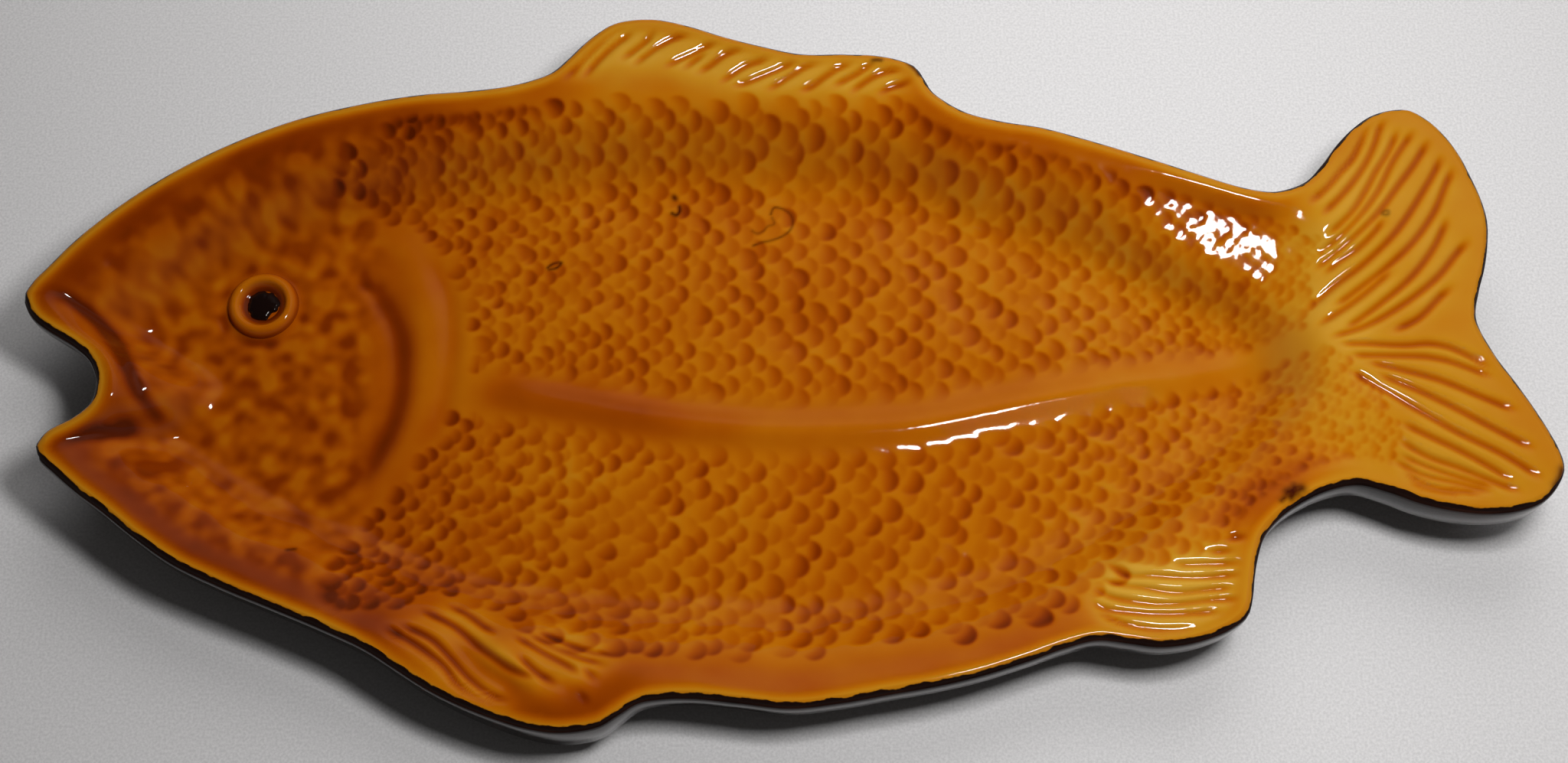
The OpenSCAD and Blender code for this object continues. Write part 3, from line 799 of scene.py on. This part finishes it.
def poured_amber_glaze():
    """Lead-bright honey glaze poured over pale clay: clear and golden where thin, brown where it pools."""
    made, tree = new_material("poured_amber_glaze")
    place = add(tree, "TexCoord").outputs["Object"]
    # On the amber panels the pool attribute also carries painted light, a little lighter on slopes that rise
    # towards the back, and a darker head
    pool = add(tree, "Attribute", attribute_name="pool").outputs["Fac"]
    edge = add(tree, "Attribute", attribute_name="edge").outputs["Fac"]
    # Drifts of thicker glaze about 25 mm across
    drift = add(tree, "TexNoise", {"Scale": 1 / (25 * MM), "Detail": 3}, {"Vector": place}).outputs["Fac"]
    drift = add(tree, "MapRange", {"From Min": 0.3, "From Max": 0.7, "To Min": -0.05, "To Max": 0.05},
                {"Value": drift}).outputs["Result"]
    thick = add(tree, "Math", (), {0: pool, 1: drift}, operation="ADD").outputs[0]
    tone = add(tree, "ValToRGB", (), {"Fac": thick}, [
        (0.0, "#C6942F"), (1.0, "#521900"), (0.2, "#BC8018"), (0.4, "#B46606"), (0.6, "#A04A01"),
        (0.8, "#7E2E00"),
    ]).outputs["Color"]
    # The dark coat laps over the lip in a ragged line
    ragged = add(tree, "TexNoise", {"Scale": 1 / (6 * MM), "Detail": 4}, {"Vector": place}).outputs["Fac"]
    ragged = add(tree, "MapRange", {"From Min": 0.3, "From Max": 0.7, "To Min": 0.7, "To Max": 1.7},
                 {"Value": ragged}).outputs["Result"]
    lap = add(tree, "Math", (), {0: ragged, 1: edge}, operation="SUBTRACT").outputs[0]
    lap = add(tree, "MapRange", {"From Min": -0.15, "From Max": 0.15}, {"Value": lap}).outputs["Result"]
    iron = add(tree, "Attribute", attribute_name="iron").outputs["Fac"]
    marked = add(tree, "MixRGB", {"Color2": linear("#3A0C02")}, {"Fac": iron, "Color1": tone}).outputs[0]
    colour = add(tree, "MixRGB", {"Color2": linear("#1A0D0A")}, {"Fac": lap, "Color1": marked})
    # Ripple of the molten surface, about 5 mm long
    ripple = add(tree, "TexNoise", {"Scale": 1 / (5 * MM), "Detail": 2}, {"Vector": place}).outputs["Fac"]
    bump = add(tree, "Bump", {"Strength": 0.12, "Distance": 0.4 * MM}, {"Height": ripple})
    shader = add(tree, "BsdfPrincipled", {"Roughness": 0.06, "IOR": 1.55},
                 {"Base Color": colour.outputs[0], "Normal": bump.outputs[0]})
    add(tree, "OutputMaterial", (), {"Surface": shader.outputs[0]})
    return made


def dipped_dark_glaze():
    """Iron and manganese glaze, dipped: a brown-black gloss that breaks to brown on sharp edges."""
    made, tree = new_material("dipped_dark_glaze")
    place = add(tree, "TexCoord").outputs["Object"]
    cloud = add(tree, "TexNoise", {"Scale": 1 / (20 * MM), "Detail": 4}, {"Vector": place}).outputs["Fac"]
    tone = add(tree, "ValToRGB", (), {"Fac": cloud}, [(0.35, "#140A08"), (0.7, "#2A1610")])
    ripple = add(tree, "TexNoise", {"Scale": 1 / (6 * MM), "Detail": 2}, {"Vector": place}).outputs["Fac"]
    bump = add(tree, "Bump", {"Strength": 0.15, "Distance": 0.4 * MM}, {"Height": ripple})
    shader = add(tree, "BsdfPrincipled", {"Roughness": 0.06, "IOR": 1.55, "Specular IOR Level": 0.25},
                 {"Base Color": tone.outputs[0], "Normal": bump.outputs[0]})
    add(tree, "OutputMaterial", (), {"Surface": shader.outputs[0]})
    return made


def bare_earthenware():
    """Fired earthenware, wiped bare where it stands: dry, pale and finely pitted."""
    made, tree = new_material("bare_earthenware")
    place = add(tree, "TexCoord").outputs["Object"]
    cloud = add(tree, "TexNoise", {"Scale": 1 / (12 * MM), "Detail": 5}, {"Vector": place}).outputs["Fac"]
    tone = add(tree, "ValToRGB", (), {"Fac": cloud}, [(0.3, "#B98C62"), (0.7, "#D6B48C")])
    grit = add(tree, "TexNoise", {"Scale": 1 / (0.8 * MM), "Detail": 3}, {"Vector": place}).outputs["Fac"]
    bump = add(tree, "Bump", {"Strength": 0.4, "Distance": 0.2 * MM}, {"Height": grit})
    shader = add(tree, "BsdfPrincipled", {"Roughness": 0.85},
                 {"Base Color": tone.outputs[0], "Normal": bump.outputs[0]})
    add(tree, "OutputMaterial", (), {"Surface": shader.outputs[0]})
    return made


def pale_table():
    """A pale grey painted top with a very fine grain."""
    made, tree = new_material("pale_table")
    place = add(tree, "TexCoord").outputs["Object"]
    grain = add(tree, "TexNoise", {"Scale": 1 / (0.9 * MM), "Detail": 1}, {"Vector": place}).outputs["Fac"]
    tone = add(tree, "ValToRGB", (), {"Fac": grain}, [(0.3, "#D2D0D0"), (0.7, "#E4E2E2")])
    shader = add(tree, "BsdfPrincipled", {"Roughness": 0.55}, {"Base Color": tone.outputs[0]})
    add(tree, "OutputMaterial", (), {"Surface": shader.outputs[0]})
    return made


# The amber upper side, in four panels that meet without a step

# The dark coat laps furthest over the lip along the belly and round the snout
LAP_SPREAD = 1.1
LAP_SIDE = np.array([0.6, 0.8])
# How thick the glaze lies on the rounded edge
LIP_POOL = 0.3
SPLIT_Y = -20.0
HEAD_X, TAIL_X = -125.0, 135.0
PANELS = {
    "glazed_head": lambda c: c.x < HEAD_X,
    "glazed_tail": lambda c: c.x >= TAIL_X,
    "glazed_back": lambda c: HEAD_X <= c.x < TAIL_X and c.y >= SPLIT_Y,
    "glazed_belly": lambda c: HEAD_X <= c.x < TAIL_X and c.y < SPLIT_Y,
}


def round_point(angle):
    """How far inside the outline and above the crest the lip's round lies at an angle in degrees."""
    turn = math.radians(angle)
    return LIP_ROUND * (1 - math.cos(turn)), LIP_ROUND * (math.sin(turn) - 1)


def store(mesh, name, values):
    """Keeps one number for each point of a mesh, which its material reads."""
    layer = mesh.attributes.new(name, "FLOAT", "POINT")
    layer.data.foreach_set("value", np.asarray(values, np.float32))


def face_up(bm):
    """Turns a flat sheet's faces upwards."""
    bmesh.ops.recalc_face_normals(bm, faces=bm.faces)
    if sum(f.normal.z for f in bm.faces) < 0:
        bmesh.ops.reverse_faces(bm, faces=bm.faces)


def press_top(mesh):
    """Presses a flat panel into the carved surface and stores how deep the glaze lies on it."""
    count = len(mesh.vertices)
    flat = np.empty(count * 3)
    mesh.vertices.foreach_get("co", flat)
    spots = flat.reshape(-1, 3) / MM
    step = np.empty(count)
    mesh.attributes["step"].data.foreach_get("value", step)
    x, y = spots[:, 0].copy(), spots[:, 1].copy()
    upper = spots[:, 2] > -0.5 * COAT_SHEET
    z = sample(top_map, MAP_CELL, x, y)
    edge = sample(edge_map, MAP_CELL, x, y)
    normals = np.column_stack([
        -sample(slope_x, MAP_CELL, x, y), -sample(slope_y, MAP_CELL, x, y), np.ones(count)
    ])
    strip = np.flatnonzero(step > 0)
    points = np.column_stack([x[strip], y[strip]])
    found, _ = nearest_rim(points)
    turn = np.radians(90 - (90 - SHOULDER_ANGLE) * step[strip])
    depth = LIP_ROUND * (1 - np.cos(turn))
    # A point keeps its own place between two rim samples, so that no two points fall together
    slide = np.sum((points - rim[found, :2]) * along_rim[found], axis=1)
    slide = np.clip(slide, -RIM_STEP / 2, RIM_STEP / 2)
    spot = rim[found, :2] + along_rim[found] * slide[:, None] + inward[found] * depth[:, None]
    x[strip], y[strip] = spot.T
    z[strip] = crest_z[found] - LIP_ROUND * (1 - np.sin(turn))
    edge[strip] = depth - LAP_SPREAD * np.clip(inward[found] @ LAP_SIDE, 0, 1)
    normals[strip] = np.column_stack([-inward[found] * np.cos(turn)[:, None], np.sin(turn)])
    z[~upper] -= COAT_SHEET
    mesh.vertices.foreach_set("co", np.column_stack([x, y, z]).ravel() * MM)
    normals /= np.linalg.norm(normals, axis=1)[:, None]
    mesh.normals_split_custom_set_from_vertices(normals)
    # The stored depth also carries painted light on slopes that rise towards the back, and the darker head
    store(mesh, "pool", np.where(step > 0, LIP_POOL, sample(pool_and_painted_light_map, MAP_CELL, x, y)))
    store(mesh, "edge", edge)
    store(mesh, "iron", sample(iron_map, MAP_CELL, x, y))
    mesh.update()


def make_panels(sheet):
    """Cuts the sheet into the four panels, gives each its thickness and presses it into shape."""
    extrude_border(sheet, 1.0, round_point(SHOULDER_ANGLE)[0])
    for name, holds in PANELS.items():
        panel = sheet.copy()
        others = [f for f in panel.faces if not holds(f.calc_center_median())]
        bmesh.ops.delete(panel, geom=others, context="FACES")
        face_up(panel)
        bmesh.ops.solidify(panel, geom=panel.faces[:], thickness=COAT_SHEET)
        top_edges = [e for e in panel.edges if all(v.co.z > -0.5 * COAT_SHEET for v in e.verts)]
        bmesh.ops.subdivide_edges(panel, edges=top_edges, cuts=TOP_CUTS, use_grid_fill=True)
        piece = finished(panel, name, amber)
        press_top(piece.data)
        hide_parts("clay_body", "amber_glaze")
        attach(piece, "root")


# The dark back: from the shoulder of the lip round its edge and over the underside

# The underside's lid and the last step of its lip are hidden this far under the crest and the glaze
HIDDEN_DEPTH = 2.6
# The underside runs level beside the lip, and takes the well's own depth between these distances
LEVEL_UNTIL, LEVEL_FADE = 9, (7, 12)
# Steps up the lip from its foot: depth inside the outline, and rise from the foot or from the crest
LIP_STEPS = [
    (LIP_EDGE, "foot", 0.0),
    (0.3 * LIP_EDGE, "foot", 0.3 * LIP_EDGE),
    (0.0, "foot", LIP_EDGE),
    (0.0, "crest", -LIP_ROUND),
    (round_point(20)[0], "crest", round_point(20)[1]),
    (round_point(SHOULDER_ANGLE)[0], "crest", round_point(SHOULDER_ANGLE)[1]),
    (LIP_ROUND, "crest", -HIDDEN_DEPTH),
]


def under_height(x, y):
    """Height of the underside, with the lip's foot turned down round it."""
    found, depth = nearest_rim(np.column_stack([x, y]))
    open_z = sample(under_map, MAP_CELL, x, y)
    near_z = crest_z[found] - BORDER_DROP - WALL
    beside = near_z + (open_z - near_z) * ease(depth, *LEVEL_FADE)
    plain = np.where(depth < LEVEL_UNTIL, beside, open_z)
    turned = ease(depth, LIP_WIDTH - LIP_EDGE, LIP_WIDTH + LIP_EDGE)
    return lip_foot_z[found] * (1 - turned) + plain * turned


def set_heights(verts, heights):
    """Gives each vertex its height."""
    for v, z in zip(verts, heights):
        v.co.z = z


def make_underside(sole):
    """Shapes the sheet into the underside and its lip, closed by a lid under the amber panels."""
    face_up(sole)
    lid = sole.copy()
    bmesh.ops.reverse_faces(sole, faces=sole.faces)
    # The lid is hidden, so only its border is as fine as the sole's
    bmesh.ops.subdivide_edges(lid, edges=[e for e in lid.edges if e.is_boundary], cuts=1)
    bmesh.ops.subdivide_edges(sole, edges=sole.edges[:], cuts=1, use_grid_fill=True)
    for half in (sole, lid):
        place_inside(border_verts(half), LIP_ROUND)
    set_heights(sole.verts, under_height(*plan(sole.verts).T))
    for number, (depth, level, rise) in enumerate(LIP_STEPS):
        verts = extrude_border(sole, number + 1, depth)
        start = lip_foot_z if level == "foot" else crest_z
        set_heights(verts, start[rim_beside(verts)] + rise)
    set_heights(lid.verts, sample(base_map, MAP_CELL, *plan(lid.verts).T) - HIDDEN_DEPTH)
    lid_border = border_verts(lid)
    set_heights(lid_border, crest_z[rim_beside(lid_border)] - HIDDEN_DEPTH)
    lid_mesh = bpy.data.meshes.new("lid")
    lid.to_mesh(lid_mesh)
    lid.free()
    sole.from_mesh(lid_mesh)
    bpy.data.meshes.remove(lid_mesh)
    bmesh.ops.remove_doubles(sole, verts=sole.verts, dist=SAME_POINT)
    piece = finished(sole, "glazed_underside", dark)
    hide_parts("back_glaze", "foot_glaze")
    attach(piece, "root")


# Eye: the ring and the bead of dark glaze in it

# Profiles from the middle outwards, as radius and height over the eye's floor
RING_PROFILE = [
    (12.5, -0.8), (12.45, 0.1), (12.1, 1.1), (11.4, 2.1), (10.4, 2.8), (9.4, 3.0), (8.6, 2.6), (8.0, 1.8),
    (7.4, 1.0), (6.6, 0.5), (5.8, 0.3), (5.0, -0.3), (5.0, -0.8), (12.5, -0.8),
]
BEAD_PROFILE = [(0.0, 1.5), (2.0, 1.4), (4.0, 1.1), (5.2, 0.7), (5.6, 0.3), (5.6, -0.3), (0.0, -0.3)]
# Waves of the bead's edge, as height, count and start, and the place, width and depth of the bite in it
BEAD_WAVES = [(0.04, 3, 1), (0.03, 8, 0), (0.02, 13, 0)]
BITE_ANGLE, BITE_WIDTH, BITE_DEPTH = -0.75, 0.28, 0.2
SPUN_SEGMENTS = 96
# Depth of the ring's glaze, and what it gains round the bead and along the foot, each between two radii
RING_POOL = 0.48
BEAD_POOL, BEAD_FADE = 0.5, (6.2, 8.6)
FOOT_POOL, FOOT_FADE = 0.3, (10.8, 12.5)
# Further inside the outline than the dark coat's lap ever reaches
PAST_LAP = 40.0


def spun(name, profile, material):
    """A closed round piece in the eye's place."""
    bm = bmesh.new()
    verts = [bm.verts.new((r, 0, z)) for r, z in profile]
    edges = [bm.edges.new(pair) for pair in zip(verts, verts[1:])]
    bmesh.ops.spin(
        bm, geom=verts + edges, cent=(0, 0, 0), axis=(0, 0, 1), angle=math.tau, steps=SPUN_SEGMENTS,
        use_merge=True,
    )
    bmesh.ops.remove_doubles(bm, verts=bm.verts, dist=SAME_CORNER)
    bmesh.ops.recalc_face_normals(bm, faces=bm.faces)
    bmesh.ops.translate(bm, vec=(*EYE, EYE_FLOOR), verts=bm.verts)
    return finished(bm, name, material)


def make_eye_ring():
    """The raised ring, its glaze pooled dark round the bead and along its foot."""
    ring = spun("eye_ring_amber", RING_PROFILE, amber)
    rows = np.array([v.co for v in ring.data.vertices]) / MM
    radius = np.hypot(rows[:, 0] - EYE[0], rows[:, 1] - EYE[1])
    pool = RING_POOL + BEAD_POOL * (1 - ease(radius, *BEAD_FADE)) + FOOT_POOL * ease(radius, *FOOT_FADE)
    store(ring.data, "pool", pool)
    store(ring.data, "edge", np.full(len(rows), PAST_LAP))
    store(ring.data, "iron", np.zeros(len(rows)))
    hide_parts("eye_ring")
    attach(ring, "root")


def make_pupil():
    """The bead of dark glaze, which ran unevenly, with a bite out of its lower right side."""
    bead = spun("eye_pupil_bead", BEAD_PROFILE, dark)
    middle = Vector((*EYE, EYE_FLOOR)) * MM
    for v in bead.data.vertices:
        angle = math.atan2(v.co.y - middle.y, v.co.x - middle.x)
        grow = 1 + sum(height * math.sin(count * angle + start) for height, count, start in BEAD_WAVES)
        grow -= BITE_DEPTH * math.exp(-(((angle - BITE_ANGLE) / BITE_WIDTH) ** 2))
        v.co.x = middle.x + (v.co.x - middle.x) * grow
        v.co.y = middle.y + (v.co.y - middle.y) * grow
    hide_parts("eye_pupil")
    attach(bead, "root")


# Foot: a bare ring of clay, and the dark coat that runs down its sides to a wiped edge

FOOT_LOW, FOOT_HIGH = (np.array(corner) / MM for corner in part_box("foot_ring"))
FOOT_MIDDLE = (FOOT_LOW + FOOT_HIGH)[:2] / 2
FOOT_REACH = (FOOT_HIGH - FOOT_LOW)[:2] / 2
FOOT_WIDTH = 7.0
FOOT_SEGMENTS = 288
UNDERSIDE_Z = FOOT_HIGH[2] - COAT
# The ring and the coat end this far up inside the underside
SUNK = 0.3
# Height of the wiped edge, and its waves as height, count and start
WIPED_Z = 1.6
WIPED_WAVES = [(0.3, 7, 1), (0.2, 16, 0), (0.12, 41, 0)]


def wiped(angle):
    """Height of the wavy line where the coat was wiped off the foot."""
    return WIPED_Z + sum(height * math.sin(count * angle + start) for height, count, start in WIPED_WAVES)


# Sections, given as distance outside the oval and height
# One side of the ring, from the underside to its ground face
RING_SIDE = [(0, UNDERSIDE_Z + SUNK), (0, 1.1), (-0.1, 0.5), (-0.4, 0.12), (-0.9, 0)]
# The coat: from under the fillet, down the side, over the wiped bead and back inside the clay
COAT_ROWS = [
    (2.2, UNDERSIDE_Z), (1.5, UNDERSIDE_Z - 0.12), (0.95, UNDERSIDE_Z - 0.5), (0.62, UNDERSIDE_Z - 1.1),
    (0.5, UNDERSIDE_Z - 1.9), (0.5, lambda a: wiped(a) + 0.4), (0.36, lambda a: wiped(a) + 0.12),
    (0.1, wiped), (-0.3, lambda a: wiped(a) + 0.2), (-0.3, UNDERSIDE_Z + SUNK), (2.2, UNDERSIDE_Z + SUNK),
]


def oval_ring(name, rows, material):
    """A closed ring along the foot's oval, its section given as distance outside the oval and height."""
    bm = bmesh.new()
    verts = bmesh.ops.create_circle(bm, segments=FOOT_SEGMENTS, radius=1)["verts"]
    edges = first = bm.edges[:]
    middle, reach = np.zeros(2), np.ones(2)
    for number, (outside, height) in enumerate(rows):
        if number > 0:
            made = bmesh.ops.extrude_edge_only(bm, edges=edges)["geom"]
            verts = [g for g in made if isinstance(g, bmesh.types.BMVert)]
            edges = [e for e in bm.edges if e.verts[0] in set(verts) and e.verts[1] in set(verts)]
        for v in verts:
            angle = math.atan2((v.co.y - middle[1]) / reach[1], (v.co.x - middle[0]) / reach[0])
            spot = FOOT_MIDDLE + (FOOT_REACH + outside) * (math.cos(angle), math.sin(angle))
            v.co = (*spot, height(angle) if callable(height) else height)
        middle, reach = FOOT_MIDDLE, FOOT_REACH + outside
    bmesh.ops.bridge_loops(bm, edges=first + edges)
    bmesh.ops.recalc_face_normals(bm, faces=bm.faces)
    return finished(bm, name, material)


def make_foot():
    """The bare ring, and the dark coat on its outer and inner side."""
    far_side = [(-FOOT_WIDTH - outside, height) for outside, height in reversed(RING_SIDE)]
    bare_ring = oval_ring("bare_foot_ring", RING_SIDE + far_side, clay)
    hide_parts("foot_ring")
    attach(bare_ring, "root")
    for name, start, way in (("outer_foot_coat", 0, 1), ("inner_foot_coat", -FOOT_WIDTH, -1)):
        coat = oval_ring(name, [(start + way * out, height) for out, height in COAT_ROWS], dark)
        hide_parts("foot_glaze")
        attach(coat, "root")


# Table, light and camera

TABLE_REACH = 3000
# The pale wall stands where the sum of x and y, and the height, pass from the first value to the second
WALL_FADE = {"From Min": 0.45, "From Max": 0.75}
# Lamps that leave no reflection: name, place, size and power in watts
SOFT_LAMPS = [
    ("soft_lamp", (210, -60, 600), 140, 2.1),
    ("soft_back", (120, 520, 520), 700, 2.8),
    ("soft_fill", (250, -50, 1300), 2200, 0.7),
]
# A pair of small bulbs, so that glints come in pairs
BULB_PLACES = [(125, -5, 620), (170, -5, 620)]
BULB_SIZE, BULB_POWER = 58, 0.3
CAMERA_PLACE = (3.64, -270.9, 679.0)
CAMERA_TILT = 22
LENS, SENSOR = 47.46, 36
# The shift that the photograph's framing needs, in pixels over its width
PICTURE_WIDTH = 2048
SHIFT_X, SHIFT_Y = -11 / PICTURE_WIDTH, -10.5 / PICTURE_WIDTH


def make_table():
    """The pale top that the platter stands on."""
    bm = bmesh.new()
    bmesh.ops.create_grid(bm, x_segments=8, y_segments=8, size=TABLE_REACH)
    table = finished(bm, "table", pale_table())


def lamp(name, place, size, power, mirrored):
    """A round lamp that shines at the platter and, unless mirrored, leaves no reflection on the glaze."""
    data = bpy.data.lights.new(name, "AREA")
    data.shape = "DISK"
    data.size = size * MM
    data.energy = power
    made = bpy.data.objects.new(name, data)
    made.location = Vector(place) * MM
    made.rotation_euler = (-Vector(place)).to_track_quat("-Z", "Y").to_euler()
    made.visible_camera = False
    made.visible_glossy = mirrored
    bpy.context.scene.collection.objects.link(made)


def soft_room():
    """A dim room, lighter towards the horizon and high up behind the tail, where a pale wall stands."""
    world = bpy.data.worlds.new("soft_room")
    world.use_nodes = True
    tree = world.node_tree
    tree.nodes.clear()
    way = add(tree, "SeparateXYZ", (), {0: add(tree, "TexCoord").outputs["Generated"]}).outputs
    sky = add(tree, "ValToRGB", (), {"Fac": way["Z"]}, [
        (0.0, "#5C5A58"), (1.0, "#050505"), (0.3, "#4A4846"), (0.7, "#1A1918"),
    ])
    back = add(tree, "Math", (), {0: way["X"], 1: way["Y"]}, operation="ADD").outputs[0]
    fades = []
    for source in (back, way["Z"]):
        fade = add(tree, "MapRange", WALL_FADE, {"Value": source}, interpolation_type="SMOOTHSTEP")
        fades.append(fade.outputs["Result"])
    wall = add(tree, "Math", (), dict(enumerate(fades)), operation="MULTIPLY").outputs[0]
    light = add(tree, "MixRGB", {"Color2": linear("#6A6664")}, {"Fac": wall, "Color1": sky.outputs["Color"]},
                blend_type="ADD").outputs[0]
    shade = add(tree, "Background", {"Strength": 1.0}, {"Color": light})
    add(tree, "OutputWorld", (), {"Surface": shade.outputs[0]})
    bpy.context.scene.world = world


def make_camera():
    """The camera at the photograph's viewing angle."""
    data = bpy.data.cameras.new("camera")
    data.lens = LENS
    data.sensor_width = SENSOR
    data.shift_x = SHIFT_X
    data.shift_y = SHIFT_Y
    data.clip_start = 0.01
    camera = bpy.data.objects.new("camera", data)
    camera.location = Vector(CAMERA_PLACE) * MM
    camera.rotation_euler = (math.radians(CAMERA_TILT), 0, 0)
    bpy.context.scene.collection.objects.link(camera)
    bpy.context.scene.camera = camera


# The making of it all

amber = poured_amber_glaze()
dark = dipped_dark_glaze()
clay = bare_earthenware()

sheet = flat_sheet(SHEET_CELL)
sheet.verts.layers.float.new("step")
underside_sheet = sheet.copy()
make_panels(sheet)
sheet.free()
make_underside(underside_sheet)
make_eye_ring()
make_pupil()
make_foot()

make_table()
for soft_lamp in SOFT_LAMPS:
    lamp(*soft_lamp, mirrored=False)
for bulb_place in BULB_PLACES:
    lamp("bulb", bulb_place, BULB_SIZE, BULB_POWER, mirrored=True)
soft_room()
make_camera()
bpy.context.scene.view_settings.view_transform = "Standard"
